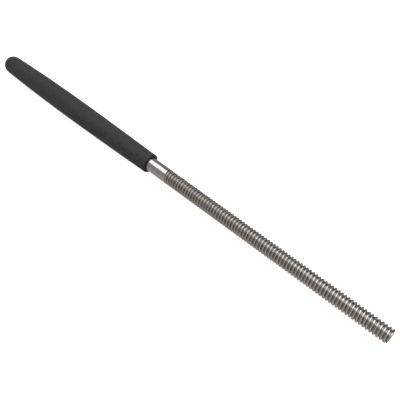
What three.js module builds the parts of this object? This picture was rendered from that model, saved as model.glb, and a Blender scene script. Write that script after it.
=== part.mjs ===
// A hand-held threaded stick: one steel bar with a fine round-crested thread, pushed into a soft
// barrel-shaped grip that is closed at the butt.
//
// Millimetres. +X runs along the stick from the butt to the tip, +Z is up. The stick lies on its
// side, so the origin is under its middle, on the surface that the grip rests on.
import * as THREE from 'three';
import { mergeVertices } from 'three/addons/utils/BufferGeometryUtils.js';

// Lengths along the stick
const GRIP_LENGTH = 131.7;
const NECK_LENGTH = 13.4;
const RELIEF_WIDTH = 0.45; // the run-out groove between the neck and the thread
const THREAD_TURNS = 76.45;
const THREAD_PITCH = 1.8144;
const THREAD_LENGTH = THREAD_TURNS * THREAD_PITCH;
const TOTAL_LENGTH = GRIP_LENGTH + NECK_LENGTH + RELIEF_WIDTH + THREAD_LENGTH;

// The bar
const BAR_RADIUS = 4.0;
const THREAD_DEPTH = 0.85;
const ROOT_RADIUS = BAR_RADIUS - THREAD_DEPTH;
const CREST_FLAT = 0.28; // share of a pitch
const ROOT_FLAT = 0.28; // share of a pitch
const THREAD_PHASE = 0.106; // turns by which the thread is rotated about the bar
const TANG_END_WALL = 8.0; // grip material behind the bore
const TANG_END_GAP = 0.6; // free depth between the tang's end and the bore's bottom
const TANG_CHAMFER = 0.6;

// The grip
const GRIP_RADIUS = 6.54; // at its thickest
const GRIP_WIDEST_AT = 61.0; // distance of the thickest place from the butt
const BUTT_RADIUS = 5.65; // the dome's, and the barrel's where it meets the dome
const FRONT_RADIUS = 5.59;
const BEND_BEHIND = 2.0; // power by which the barrel narrows behind its thickest place
const BEND_AHEAD = 1.5; // and in front of it, where it runs straighter
const FRONT_EDGE = 0.5; // rounding of the front rim
const STEPS_BEHIND = 2; // straight steps from the dome to the thickest place
const STEPS_AHEAD = 3; // straight steps from the thickest place to the front rim
const BORE_GAP = 0.25; // radial gap between the tang and the bore

// Number of flats round each piece. The flats are tangent to the true circle, so each piece
// reaches its true radius at the bottom, the sides and the top.
const BAR_FLATS = 12;
const GRIP_FLATS = 32;

const BUTT_X = -TOTAL_LENGTH / 2;
const TIP_X = TOTAL_LENGTH / 2;
const GRIP_FRONT_X = BUTT_X + GRIP_LENGTH;
const NECK_END_X = GRIP_FRONT_X + NECK_LENGTH;
const THREAD_START_X = NECK_END_X + RELIEF_WIDTH;
const BORE_END_X = BUTT_X + TANG_END_WALL;
const TANG_END_X = BORE_END_X + TANG_END_GAP;

/** The radius at which a polygon's flats touch a circle of the given radius. */
function cornerRadius(radius, flats) {
  return radius / Math.cos(Math.PI / flats);
}

/** The thread's radius, at a distance in turns from the middle of a crest. */
function threadRadius(turns) {
  const fromCrest = Math.abs(turns - Math.round(turns));
  const flankStart = CREST_FLAT / 2;
  const flankEnd = 0.5 - ROOT_FLAT / 2;
  const down = THREE.MathUtils.clamp((fromCrest - flankStart) / (flankEnd - flankStart), 0, 1);
  return BAR_RADIUS - THREAD_DEPTH * down;
}

/**
 * The threaded bar's surface, as rows of points. A row holds one point for each corner of the
 * bar's outline and one more that closes the round. The rows of the thread climb by one pitch a
 * round, and are cut off square where the thread starts and where the bar ends.
 */
function barRows() {
  const rows = [];
  const point = (x, radius, corner) => {
    const angle = (2 * Math.PI * (corner + 0.5)) / BAR_FLATS;
    const r = cornerRadius(radius, BAR_FLATS);
    return new THREE.Vector3(x, r * Math.cos(angle), r * Math.sin(angle));
  };
  const addRow = (at) => {
    const row = [];
    for (let corner = 0; corner <= BAR_FLATS; corner++) row.push(at(corner));
    rows.push(row);
  };
  const addRing = (x, radius) => addRow((corner) => point(x, radius, corner));

  addRing(TANG_END_X, 0);
  addRing(TANG_END_X, BAR_RADIUS - TANG_CHAMFER);
  addRing(TANG_END_X + TANG_CHAMFER, BAR_RADIUS);
  addRing(NECK_END_X, BAR_RADIUS);
  addRing(NECK_END_X, ROOT_RADIUS);
  addRing(THREAD_START_X, ROOT_RADIUS);

  const crestEdge = CREST_FLAT / 2;
  const rootEdge = 0.5 - ROOT_FLAT / 2;
  const edgesOfATurn = [-rootEdge, -crestEdge, crestEdge, rootEdge];
  const nearEnd = 0.03;
  for (let turn = -1; turn < THREAD_TURNS + 2; turn++) {
    for (const edge of edgesOfATurn) {
      addRow((corner) => {
        const climb = (corner + 0.5) / BAR_FLATS;
        let x = THREAD_START_X + THREAD_PITCH * (turn + edge + climb - THREAD_PHASE);
        x = THREE.MathUtils.clamp(x, THREAD_START_X, TIP_X);
        if (x < THREAD_START_X + nearEnd) x = THREAD_START_X;
        if (x > TIP_X - nearEnd) x = TIP_X;
        const turns = (x - THREAD_START_X) / THREAD_PITCH - climb + THREAD_PHASE;
        return point(x, threadRadius(turns), corner);
      });
    }
  }
  addRing(TIP_X, 0);
  return rows;
}

/** One closed surface through rows of points, with the points that fall together joined. */
function surfaceThroughRows(rows) {
  const positions = [];
  for (let i = 0; i + 1 < rows.length; i++) {
    for (let j = 0; j + 1 < rows[i].length; j++) {
      const [a, b, c, d] = [rows[i][j], rows[i][j + 1], rows[i + 1][j + 1], rows[i + 1][j]];
      for (const p of [a, b, c, a, c, d]) positions.push(p.x, p.y, p.z);
    }
  }
  const soup = new THREE.BufferGeometry();
  soup.setAttribute('position', new THREE.Float32BufferAttribute(positions, 3));
  const joined = mergeVertices(soup, 1e-3);
  const corners = joined.index.array;
  const faces = [];
  for (let i = 0; i < corners.length; i += 3) {
    const [a, b, c] = [corners[i], corners[i + 1], corners[i + 2]];
    if (a !== b && b !== c && c !== a) faces.push(a, b, c);
  }
  joined.setIndex(faces);
  joined.computeVertexNormals();
  return joined;
}

/** The grip's outer radius at a distance from the butt, in front of the dome. */
function barrelRadius(fromButt) {
  const behind = fromButt < GRIP_WIDEST_AT;
  const end = behind ? BUTT_RADIUS : GRIP_LENGTH;
  const endRadius = behind ? BUTT_RADIUS : FRONT_RADIUS;
  const share = (fromButt - GRIP_WIDEST_AT) / (end - GRIP_WIDEST_AT);
  return GRIP_RADIUS - (GRIP_RADIUS - endRadius) * share ** (behind ? BEND_BEHIND : BEND_AHEAD);
}

/**
 * The grip's section as [distance from the butt, radius], from the butt round to the bore. The
 * barrel's long straight steps stay within 0.07 mm of its curve.
 */
function gripSection() {
  const section = [[0, 0]];
  const domeSteps = 6;
  for (let i = 1; i < domeSteps; i++) {
    const angle = (Math.PI / 2) * (i / domeSteps);
    section.push([BUTT_RADIUS * (1 - Math.cos(angle)), BUTT_RADIUS * Math.sin(angle)]);
  }
  const barrelEnd = GRIP_LENGTH - FRONT_EDGE;
  const stretches = [
    [BUTT_RADIUS, GRIP_WIDEST_AT, STEPS_BEHIND],
    [GRIP_WIDEST_AT, barrelEnd, STEPS_AHEAD],
  ];
  for (const [from, to, steps] of stretches) {
    for (let i = 0; i < steps; i++) {
      const at = from + (to - from) * (i / steps);
      section.push([at, barrelRadius(at)]);
    }
  }
  const rimRadius = barrelRadius(barrelEnd) - FRONT_EDGE;
  const edgeSteps = 3;
  for (let i = 0; i <= edgeSteps; i++) {
    const angle = (Math.PI / 2) * (i / edgeSteps);
    section.push([barrelEnd + FRONT_EDGE * Math.sin(angle), rimRadius + FRONT_EDGE * Math.cos(angle)]);
  }
  section.push([GRIP_LENGTH, BAR_RADIUS + BORE_GAP]);
  section.push([TANG_END_WALL, BAR_RADIUS + BORE_GAP]);
  section.push([TANG_END_WALL, 0]);
  return section;
}

/** Turns a section round the X axis. */
function turned(section, flats) {
  const points = section.map(([at, radius]) => new THREE.Vector2(cornerRadius(radius, flats), BUTT_X + at));
  const geometry = new THREE.LatheGeometry(points, flats, Math.PI / flats);
  geometry.rotateZ(-Math.PI / 2);
  return geometry;
}

const steel = new THREE.MeshStandardMaterial({ color: 0x9a9792, roughness: 0.35, metalness: 1.0 });
const softBlack = new THREE.MeshStandardMaterial({ color: 0x3a3a40, roughness: 0.85, metalness: 0.0 });

const bar = new THREE.Mesh(surfaceThroughRows(barRows()), steel);
bar.name = 'threaded_bar';

const grip = new THREE.Mesh(turned(gripSection(), GRIP_FLATS), softBlack);
grip.name = 'grip';

const group = new THREE.Group();
group.add(bar, grip);
group.position.z = GRIP_RADIUS;
group.updateMatrixWorld(true);

export default group;
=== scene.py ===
import math
import bmesh
import bpy
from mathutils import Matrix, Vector


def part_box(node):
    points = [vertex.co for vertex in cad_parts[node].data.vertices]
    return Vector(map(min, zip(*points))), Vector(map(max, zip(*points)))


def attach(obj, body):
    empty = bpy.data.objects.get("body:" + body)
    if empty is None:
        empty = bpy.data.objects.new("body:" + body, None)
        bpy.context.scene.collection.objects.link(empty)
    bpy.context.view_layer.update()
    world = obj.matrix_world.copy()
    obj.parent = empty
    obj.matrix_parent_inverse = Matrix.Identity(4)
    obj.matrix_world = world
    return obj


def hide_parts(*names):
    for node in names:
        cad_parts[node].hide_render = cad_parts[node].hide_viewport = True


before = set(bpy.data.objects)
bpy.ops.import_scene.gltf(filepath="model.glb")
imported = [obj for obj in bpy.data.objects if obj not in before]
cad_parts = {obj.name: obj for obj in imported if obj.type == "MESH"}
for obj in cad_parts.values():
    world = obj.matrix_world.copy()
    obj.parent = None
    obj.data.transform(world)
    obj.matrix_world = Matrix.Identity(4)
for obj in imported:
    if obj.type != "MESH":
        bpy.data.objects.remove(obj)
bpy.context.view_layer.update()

MM = 0.001

# Places and radii that the frame gives
BAR_LOW, BAR_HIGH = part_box("threaded_bar")
GRIP_LOW, GRIP_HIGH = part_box("grip")
BUTT_X = GRIP_LOW.x
GRIP_FRONT_X = GRIP_HIGH.x
TANG_END_X = BAR_LOW.x
TIP_X = BAR_HIGH.x
AXIS_Z = (BAR_LOW.z + BAR_HIGH.z) / 2
BAR_RADIUS = (BAR_HIGH.z - BAR_LOW.z) / 2
GRIP_RADIUS = (GRIP_HIGH.z - GRIP_LOW.z) / 2

# The bar, as the CAD has it
THREAD_TURNS = 76.45
THREAD_PITCH = 1.8144 * MM
THREAD_DEPTH = 0.85 * MM
THREAD_PHASE = 0.106
RELIEF_WIDTH = 0.45 * MM
TANG_CHAMFER = 0.6 * MM
ROOT_RADIUS = BAR_RADIUS - THREAD_DEPTH
THREAD_START_X = TIP_X - THREAD_TURNS * THREAD_PITCH
NECK_END_X = THREAD_START_X - RELIEF_WIDTH

# The bar's fine shape
CREST_WIDTH = 1.5  # above 1, the crests are wider than the valleys
# The thread starts obliquely: before NECK_END_X on one side of the bar, and after it opposite
NECK_LEAN = 0.7 * MM  # how far before, and after
NECK_LEAN_FROM = math.radians(30.0)  # the side where it starts first, from +Y towards +Z
RUN_IN = 0.25 * MM  # length over which the thread sinks into the neck
THREAD_LOOK_FROM = RUN_IN / 3  # beyond the neck's end, where the duller steel begins
END_CROWN = 18.0 * MM  # radius of the slightly domed end
END_RINGS = 4  # from the thread's root to the middle of the end
END_ROUNDS = 20  # more than enough for thread_end to settle
SNAP = 0.02 * MM  # a point this close to either end of the thread's rows lies on that end
BAR_COLUMNS = 56
ROWS_PER_TURN = 16
TURNS_BEFORE = 2  # extra turns of rows before the thread, so that no column starts late
NECK_STEPS = 8
BAR_SHARP_ANGLE = 35.0  # degrees between faces above which their edge stays sharp

# The grip, as the CAD has it
GRIP_WIDEST_AT = 61.0 * MM
BUTT_RADIUS = 5.65 * MM
FRONT_RADIUS = 5.59 * MM
BEND_BEHIND = 2.0
BEND_AHEAD = 1.5
FRONT_EDGE = 0.5 * MM
BORE_RADIUS = BAR_RADIUS + 0.25 * MM
BORE_END_AT = 8.0 * MM
GRIP_LENGTH = GRIP_FRONT_X - BUTT_X

# The grip's fine shape
LIP_EDGE = 0.2 * MM  # rounding where the front face turns into the bore
GRIP_COLUMNS = 112
DOME_STEPS = 18
BARREL_STEPS = 84
FRONT_EDGE_STEPS = 6
LIP_STEPS = 4
GRIP_SHARP_ANGLE = 40.0

JOIN_DISTANCE = 0.0001 * MM  # points closer than this become one

# Colours of the materials
NECK_DARK = (0.53, 0.52, 0.50, 1)
NECK_LIGHT = (0.60, 0.59, 0.57, 1)
# Painted light on the thread: its valleys are painted darker than its crests as painted shade, and
# both are painted dim near the neck and bright towards the tip as a painted highlight along the bar
SHADED_VALLEY_AT_NECK = (0.255, 0.242, 0.227, 1)
SHADED_VALLEY_AT_TIP = (0.44, 0.424, 0.408, 1)
SHADED_CREST_AT_NECK = (0.295, 0.282, 0.265, 1)
LIT_CREST_AT_TIP = (0.46, 0.449, 0.435, 1)
RUBBER_DARK = (0.018, 0.0177, 0.0225, 1)
RUBBER_LIGHT = (0.034, 0.0335, 0.0405, 1)
RUBBER_SPECK = (0.04, 0.039, 0.047, 1)
# Painted shade on the grip's front face
RUBBER_FRONT_SHADE = (0.006, 0.0055, 0.0065, 1)
PAPER_DARK = (0.66, 0.66, 0.66, 1)
PAPER_LIGHT = (0.7, 0.7, 0.7, 1)
WHITE = (1, 1, 1, 1)

# The camera looks down on the stick from the side of its tip, without any roll
CAMERA_AZIMUTH = math.radians(42.29)
CAMERA_ELEVATION = math.radians(52.54)
CAMERA_DISTANCE = 297.1 * MM
CAMERA_TARGET = Vector((26.89 * MM, -0.21 * MM, AXIS_Z - 0.12 * MM))
CAMERA_LENS = 50.46  # on a 36 mm sensor
CAMERA_NEAR = 10 * MM  # nothing nearer is seen

# Light. An elevation of 0 is level behind the stick, and 90 degrees is straight above it
SOFTBOX_ELEVATION = math.radians(83.0)
SOFTBOX_DISTANCE = 1.0
SOFTBOX_LENGTH = 1.95
SOFTBOX_WIDTH = 0.96
SOFTBOX_X = 0.12
SOFTBOX_RADIANCE = 2.0
TIP_LIGHT_PLACE = (0.17, 0.08, 0.4)
TIP_LIGHT_SIZE = 0.2
TIP_LIGHT_RADIANCE = 1.2
ROOM_BEHIND = (0.19, 0.19, 0.19, 1)
ROOM_IN_FRONT = (0.34, 0.307, 0.298, 1)
ROOM_BESIDE_TIP = (1.0, 0.94, 0.9, 1)
ROOM_BELOW = (0.47, 0.445, 0.43, 1)
FLOOR_HALF = 2.0  # half of its width
FLOOR_GLOW = 0.88


def make_camera():
    """The camera, at the angle and distance that the stick is seen from."""
    data = bpy.data.cameras.new("camera")
    data.lens = CAMERA_LENS
    data.clip_start = CAMERA_NEAR
    camera = bpy.data.objects.new("camera", data)
    bpy.context.scene.collection.objects.link(camera)
    direction = Vector((
        math.cos(CAMERA_ELEVATION) * math.sin(CAMERA_AZIMUTH),
        -math.cos(CAMERA_ELEVATION) * math.cos(CAMERA_AZIMUTH),
        math.sin(CAMERA_ELEVATION),
    ))
    camera.location = CAMERA_TARGET + CAMERA_DISTANCE * direction
    camera.rotation_euler = direction.to_track_quat("Z", "Y").to_euler()
    bpy.context.scene.camera = camera


# ---------------------------------------------------------------- shapes


def around(x, radius, column, columns):
    """A point of the surface: its place along the stick, its radius and its column round it."""
    angle = 2 * math.pi * column / columns
    return Vector((x, radius * math.cos(angle), AXIS_Z + radius * math.sin(angle)))


def smooth_step(share):
    """0 below 0, 1 above 1, and a smooth rise between."""
    share = min(max(share, 0.0), 1.0)
    return share * share * (3 - 2 * share)


def neck_end(climb):
    """Where the neck gives way to the thread. climb is a share of a round, from +Y towards +Z."""
    angle = 2 * math.pi * climb - NECK_LEAN_FROM
    return NECK_END_X - NECK_LEAN * math.cos(angle)


def thread_radius(x, climb):
    """The thread's radius at x. climb is a share of a round, from +Y towards +Z."""
    turn = (x - THREAD_START_X) / THREAD_PITCH - climb + THREAD_PHASE
    from_crest = 2 * abs(turn - round(turn))
    groove = 0.5 - 0.5 * math.cos(math.pi * from_crest ** CREST_WIDTH)
    groove *= smooth_step((x - neck_end(climb)) / RUN_IN)
    return BAR_RADIUS - THREAD_DEPTH * groove


def crown_x(radius):
    """Where the domed end is, at a distance from the centre line."""
    return TIP_X - END_CROWN + math.sqrt(END_CROWN**2 - radius**2)


def thread_end(climb):
    """Where the thread meets the domed end. climb is a share of a round, from +Y towards +Z."""
    x = TIP_X
    for _ in range(END_ROUNDS):
        x = crown_x(thread_radius(x, climb))
    return x


def bar_rows():
    """The bar's surface as rows of points. The thread's rows climb by one pitch a round."""
    rows = []
    ends = [thread_end(column / BAR_COLUMNS) for column in range(BAR_COLUMNS + 1)]

    def add_ring(x, radius):
        rows.append([around(x, radius, j, BAR_COLUMNS) for j in range(BAR_COLUMNS + 1)])

    add_ring(TANG_END_X, 0)
    add_ring(TANG_END_X, BAR_RADIUS - TANG_CHAMFER)
    add_ring(TANG_END_X + TANG_CHAMFER, BAR_RADIUS)
    add_ring(GRIP_FRONT_X - BAR_RADIUS, BAR_RADIUS)
    first_x = NECK_END_X - NECK_LEAN
    for step in range(NECK_STEPS + 1):
        share = step / NECK_STEPS
        add_ring(GRIP_FRONT_X + share * (first_x - GRIP_FRONT_X), BAR_RADIUS)
    first_row = -TURNS_BEFORE * ROWS_PER_TURN
    last_row = math.ceil(THREAD_TURNS + 1) * ROWS_PER_TURN
    for row in range(first_row, last_row + 1):
        points = []
        for column in range(BAR_COLUMNS + 1):
            climb = column / BAR_COLUMNS
            x = THREAD_START_X + THREAD_PITCH * (row / ROWS_PER_TURN + climb - THREAD_PHASE)
            if x < first_x + SNAP:
                x = first_x
            if x > ends[column] - SNAP:
                x = ends[column]
            points.append(around(x, thread_radius(x, climb), column, BAR_COLUMNS))
        rows.append(points)
    for ring in reversed(range(END_RINGS)):
        radius = ROOT_RADIUS * ring / END_RINGS
        add_ring(crown_x(radius), radius)
    return rows


def barrel_radius(at):
    """The grip's outer radius at a distance from the butt, in front of the dome."""
    behind = at < GRIP_WIDEST_AT
    end = BUTT_RADIUS if behind else GRIP_LENGTH
    end_radius = BUTT_RADIUS if behind else FRONT_RADIUS
    share = (at - GRIP_WIDEST_AT) / (end - GRIP_WIDEST_AT)
    return GRIP_RADIUS - (GRIP_RADIUS - end_radius) * share ** (BEND_BEHIND if behind else BEND_AHEAD)


def quarter(centre_at, centre_radius, size, start, steps):
    """Points of a quarter circle, which turns from the angle start by a quarter, clockwise."""
    points = []
    for step in range(steps + 1):
        angle = start - math.pi / 2 * step / steps
        points.append((centre_at + size * math.cos(angle), centre_radius + size * math.sin(angle)))
    return points


def grip_section():
    """The grip's section as (distance from the butt, radius), from the butt round to the bore."""
    section = quarter(BUTT_RADIUS, 0.0, BUTT_RADIUS, math.pi, DOME_STEPS)[:-1]
    barrel_end = GRIP_LENGTH - FRONT_EDGE
    for step in range(BARREL_STEPS):
        at = BUTT_RADIUS + (barrel_end - BUTT_RADIUS) * step / BARREL_STEPS
        section.append((at, barrel_radius(at)))
    rim_radius = barrel_radius(barrel_end) - FRONT_EDGE
    section += quarter(barrel_end, rim_radius, FRONT_EDGE, math.pi / 2, FRONT_EDGE_STEPS)
    lip = quarter(GRIP_LENGTH - LIP_EDGE, BORE_RADIUS + LIP_EDGE, LIP_EDGE, 0.0, LIP_STEPS)
    section += reversed(lip)
    section.append((BORE_END_AT, BORE_RADIUS))
    section.append((BORE_END_AT, 0.0))
    return section


def grip_rows():
    """The grip's surface as rings of points."""
    rows = []
    for at, radius in grip_section():
        rows.append([around(BUTT_X + at, radius, j, GRIP_COLUMNS) for j in range(GRIP_COLUMNS + 1)])
    return rows


def make_piece(name, rows, sharp_angle):
    """A closed piece through rows of points, with the points that fall together joined."""
    mesh_data = bmesh.new()
    grid = [[mesh_data.verts.new(point) for point in row] for row in rows]
    for row, next_row in zip(grid, grid[1:]):
        for j in range(len(row) - 1):
            mesh_data.faces.new((row[j], row[j + 1], next_row[j + 1], next_row[j]))
    bmesh.ops.remove_doubles(mesh_data, verts=mesh_data.verts, dist=JOIN_DISTANCE)
    bmesh.ops.recalc_face_normals(mesh_data, faces=mesh_data.faces)
    mesh = bpy.data.meshes.new(name)
    mesh_data.to_mesh(mesh)
    mesh_data.free()
    mesh.shade_smooth()
    mesh.set_sharp_from_angle(angle=math.radians(sharp_angle))
    piece = bpy.data.objects.new(name, mesh)
    bpy.context.scene.collection.objects.link(piece)
    return piece


# ---------------------------------------------------------------- materials


class Nodes:
    """A material's node tree, with short ways to add what the materials here share."""

    def __init__(self, name):
        self.material = bpy.data.materials.new(name)
        self.material.use_nodes = True
        self.tree = self.material.node_tree
        self.shader = self.tree.nodes["Principled BSDF"]

    def add(self, kind, inputs=(), **settings):
        """A node with its settings, and with its inputs set to numbers or linked to sockets."""
        node = self.tree.nodes.new(kind)
        for name, value in settings.items():
            setattr(node, name, value)
        for key, value in dict(inputs).items():
            if isinstance(value, bpy.types.NodeSocket):
                self.tree.links.new(value, node.inputs[key])
            else:
                node.inputs[key].default_value = value
        return node

    def place(self, scale=(1, 1, 1)):
        """The place on the object, in metres times scale."""
        coordinates = self.add("ShaderNodeTexCoord")
        inputs = {"Vector": coordinates.outputs["Object"], "Scale": scale}
        return self.add("ShaderNodeMapping", inputs).outputs["Vector"]

    def noise(self, scale, detail=4.0, roughness=0.55):
        """Noise from 0 to 1. scale is how many features there are to a metre, each way."""
        inputs = {"Vector": self.place(scale), "Scale": 1.0, "Detail": detail, "Roughness": roughness}
        return self.add("ShaderNodeTexNoise", inputs).outputs["Fac"]

    def levels(self, value, low, high, to_low=0.0, to_high=1.0, smooth=True):
        """value, with the range low to high stretched to the new range and cut off there."""
        inputs = {"Value": value, 1: low, 2: high, 3: to_low, 4: to_high}
        kind = "SMOOTHSTEP" if smooth else "LINEAR"
        return self.add("ShaderNodeMapRange", inputs, interpolation_type=kind).outputs["Result"]

    def math(self, operation, first, second):
        """A sum, product or the like of two values."""
        return self.add("ShaderNodeMath", {0: first, 1: second}, operation=operation).outputs[0]

    def mix(self, share, first, second):
        """A colour between first and second."""
        inputs = {0: share, 6: first, 7: second}
        return self.add("ShaderNodeMix", inputs, data_type="RGBA").outputs[2]

    def bump(self, height, distance, strength=1.0, under=None):
        """A relief, distance high, on top of another one if that is given."""
        inputs = {"Height": height, "Distance": distance, "Strength": strength}
        if under is not None:
            inputs["Normal"] = under
        return self.add("ShaderNodeBump", inputs).outputs["Normal"]

    def link(self, value, name):
        """Links a value to the shader's input of that name."""
        self.tree.links.new(value, self.shader.inputs[name])

    def along(self):
        """The place along the stick."""
        return self.add("ShaderNodeSeparateXYZ", {"Vector": self.place()}).outputs["X"]

    def radius(self):
        """The distance from the stick's centre line."""
        offset = self.add(
            "ShaderNodeVectorMath", {0: self.place(), 1: (0, 0, -AXIS_Z)}, operation="ADD"
        )
        across = self.add(
            "ShaderNodeVectorMath", {0: offset.outputs[0], 1: (0, 1, 1)}, operation="MULTIPLY"
        )
        length = self.add("ShaderNodeVectorMath", {0: across.outputs[0]}, operation="LENGTH")
        return length.outputs["Value"]


def neck_steel():
    """Bright turned steel, with very fine marks round the bar and a few faint scuffs."""
    nodes = Nodes("neck_steel")
    tint = nodes.levels(nodes.noise((400, 400, 400)), 0.35, 0.65)
    nodes.link(nodes.mix(tint, NECK_DARK, NECK_LIGHT), "Base Color")
    nodes.shader.inputs["Metallic"].default_value = 1.0
    marks = nodes.noise((9000, 160, 160), detail=3.0)
    scuffs = nodes.noise((900, 500, 500), detail=6.0, roughness=0.7)
    nodes.link(nodes.levels(scuffs, 0.35, 0.8, to_low=0.24, to_high=0.36), "Roughness")
    nodes.link(nodes.bump(marks, 0.0016 * MM), "Normal")
    return nodes.material


def thread_steel():
    """Cut steel, less rough towards the tip, with painted light: the valleys are painted darker than
    the crests as painted shade, and the colour is painted dim near the neck and bright towards the
    tip as a painted highlight.
    """
    nodes = Nodes("thread_steel")
    worn = nodes.noise((700, 700, 700), detail=5.0, roughness=0.6)
    uneven = nodes.levels(worn, 0.0, 1.0, to_low=-0.25, to_high=0.25, smooth=False)
    # Painted shade: the valleys are painted darker than the crests
    height = nodes.math("ADD", nodes.levels(nodes.radius(), ROOT_RADIUS, BAR_RADIUS), uneven)
    # Painted highlight along the bar: the colour is painted dim near the neck and bright towards the
    # tip; this share also makes the steel less rough towards the tip
    share = nodes.levels(nodes.along(), THREAD_START_X, TIP_X, smooth=False)
    polish_and_painted_light = nodes.math("ADD", share, uneven)
    valley = nodes.mix(polish_and_painted_light, SHADED_VALLEY_AT_NECK, SHADED_VALLEY_AT_TIP)
    crest = nodes.mix(polish_and_painted_light, SHADED_CREST_AT_NECK, LIT_CREST_AT_TIP)
    nodes.link(nodes.mix(nodes.levels(height, 0.0, 0.6), valley, crest), "Base Color")
    nodes.shader.inputs["Metallic"].default_value = 1.0
    nodes.link(nodes.levels(polish_and_painted_light, 0.0, 1.0, to_low=0.4, to_high=0.26), "Roughness")
    marks = nodes.noise((7000, 300, 300), detail=3.0)
    pits = nodes.noise((3500, 3500, 3500), detail=4.0)
    coarse = nodes.bump(pits, 0.004 * MM, 0.6)
    nodes.link(nodes.bump(marks, 0.007 * MM, 1.0, coarse), "Normal")
    return nodes.material


def grip_rubber():
    """Matt black soft rubber with a very fine grain, a faint mottling and painted shade that makes
    the front face blacker.
    """
    nodes = Nodes("grip_rubber")
    mottle = nodes.levels(nodes.noise((420, 420, 420), detail=5.0, roughness=0.75), 0.32, 0.68)
    colour = nodes.mix(mottle, RUBBER_DARK, RUBBER_LIGHT)
    grain = nodes.noise((4200, 4200, 4200), detail=3.0, roughness=0.6)
    colour = nodes.mix(nodes.levels(grain, 0.55, 0.8), colour, RUBBER_SPECK)
    # Painted shade: the front face is painted near-black
    painted_front_shade = nodes.levels(nodes.along(), GRIP_FRONT_X - FRONT_EDGE, GRIP_FRONT_X)
    nodes.link(nodes.mix(painted_front_shade, colour, RUBBER_FRONT_SHADE), "Base Color")
    nodes.link(nodes.levels(mottle, 0.0, 1.0, to_low=0.62, to_high=0.78), "Roughness")
    nodes.shader.inputs["Specular IOR Level"].default_value = 0.35
    nodes.shader.inputs["Sheen Weight"].default_value = 0.08
    nodes.shader.inputs["Sheen Roughness"].default_value = 0.5
    soft = nodes.bump(nodes.noise((900, 900, 900), detail=2.0), 0.05 * MM, 0.7)
    nodes.link(nodes.bump(grain, 0.03 * MM, 0.7, soft), "Normal")
    return nodes.material


def floor_paper():
    """White paper, faintly uneven. It glows a little, so that it stays white round the stick."""
    nodes = Nodes("floor_paper")
    nodes.link(nodes.mix(nodes.noise((60, 60, 60)), PAPER_DARK, PAPER_LIGHT), "Base Color")
    nodes.shader.inputs["Roughness"].default_value = 0.9
    nodes.shader.inputs["Specular IOR Level"].default_value = 0.2
    nodes.shader.inputs["Emission Color"].default_value = WHITE
    nodes.shader.inputs["Emission Strength"].default_value = FLOOR_GLOW
    return nodes.material


# ---------------------------------------------------------------- pieces


def make_bar():
    """The threaded bar in its fine shape, with a bright neck and tang and a duller thread."""
    bar = make_piece("threaded_bar_fine", bar_rows(), BAR_SHARP_ANGLE)
    bar.data.materials.append(neck_steel())
    bar.data.materials.append(thread_steel())
    for face in bar.data.polygons:
        climb = math.atan2(face.center.z - AXIS_Z, face.center.y) / (2 * math.pi)
        if face.center.x > neck_end(climb) + THREAD_LOOK_FROM:
            face.material_index = 1
    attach(bar, "root")
    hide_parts("threaded_bar")


def make_grip():
    """The soft grip in its fine shape."""
    grip = make_piece("grip_fine", grip_rows(), GRIP_SHARP_ANGLE)
    grip.data.materials.append(grip_rubber())
    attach(grip, "root")
    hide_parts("grip")


# ---------------------------------------------------------------- stage


def floor_slope():
    """The floor's rise along +X: it touches the tip's underside and the belly of the grip."""
    tip_z = AXIS_Z - BAR_RADIUS
    slopes = []
    for at, radius in grip_section():
        slopes.append((tip_z - (AXIS_Z - radius)) / (TIP_X - (BUTT_X + at)))
    return max(slopes)


def make_floor():
    """A pale floor that touches the stick's tip and belly. The stick doesn't mirror it."""
    slope = floor_slope()
    tip_z = AXIS_Z - BAR_RADIUS
    corners = []
    for side_x, side_y in ((-1, -1), (1, -1), (1, 1), (-1, 1)):
        x = FLOOR_HALF * side_x
        corners.append((x, FLOOR_HALF * side_y, tip_z + slope * (x - TIP_X)))
    mesh = bpy.data.meshes.new("floor")
    mesh.from_pydata(corners, [], [(0, 1, 2, 3)])
    floor = bpy.data.objects.new("floor", mesh)
    bpy.context.scene.collection.objects.link(floor)
    floor.data.materials.append(floor_paper())
    floor.visible_glossy = False
    floor.visible_diffuse = False


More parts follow.
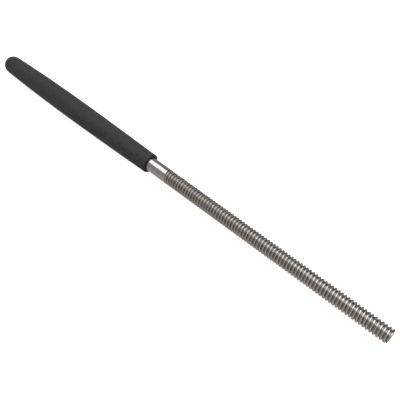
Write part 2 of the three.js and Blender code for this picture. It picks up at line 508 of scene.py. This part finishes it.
def add_light(name, place, length, width, radiance):
    """A rectangular light that squarely faces the X axis, which runs along under the stick."""
    data = bpy.data.lights.new(name, "AREA")
    data.shape = "RECTANGLE"
    data.size = length
    data.size_y = width
    data.energy = radiance * math.pi * length * width
    light = bpy.data.objects.new(name, data)
    light.location = place
    light.rotation_euler = (math.atan2(place[2], place[1]) - math.pi / 2, 0, 0)
    bpy.context.scene.collection.objects.link(light)


def make_lights():
    """A large softbox overhead, and a small one that brightens the tip."""
    behind = SOFTBOX_DISTANCE * math.cos(SOFTBOX_ELEVATION)
    above = SOFTBOX_DISTANCE * math.sin(SOFTBOX_ELEVATION)
    add_light("softbox", (SOFTBOX_X, behind, above), SOFTBOX_LENGTH, SOFTBOX_WIDTH, SOFTBOX_RADIANCE)
    add_light("tip_light", TIP_LIGHT_PLACE, TIP_LIGHT_SIZE, TIP_LIGHT_SIZE, TIP_LIGHT_RADIANCE)


def make_room():
    """The room: dim behind the stick, warmer in front, brighter below and beside the tip.

    Each row below names an axis, and its colour takes over as that part of the direction, which
    is 1 long, goes from start to end.
    """
    world = bpy.data.worlds.new("room")
    world.use_nodes = True
    tree = world.node_tree
    place = tree.nodes.new("ShaderNodeTexCoord")
    parts = tree.nodes.new("ShaderNodeSeparateXYZ")
    tree.links.new(place.outputs["Generated"], parts.inputs["Vector"])
    colour = None
    for axis, start, end, other in (
        ("Y", 0.4, -0.4, ROOM_IN_FRONT),
        ("Z", 0.25, -0.35, ROOM_BELOW),
        ("X", 0.2, 0.8, ROOM_BESIDE_TIP),
    ):
        share = tree.nodes.new("ShaderNodeMapRange")
        share.interpolation_type = "SMOOTHSTEP"
        share.inputs[1].default_value = start
        share.inputs[2].default_value = end
        tree.links.new(parts.outputs[axis], share.inputs["Value"])
        blend = tree.nodes.new("ShaderNodeMix")
        blend.data_type = "RGBA"
        blend.inputs[6].default_value = ROOM_BEHIND
        if colour:
            tree.links.new(colour, blend.inputs[6])
        blend.inputs[7].default_value = other
        tree.links.new(share.outputs["Result"], blend.inputs[0])
        colour = blend.outputs[2]
    tree.links.new(colour, tree.nodes["Background"].inputs["Color"])
    bpy.context.scene.world = world
    bpy.context.scene.view_settings.view_transform = "Standard"


make_camera()
make_bar()
make_grip()
make_floor()
make_lights()
make_room()
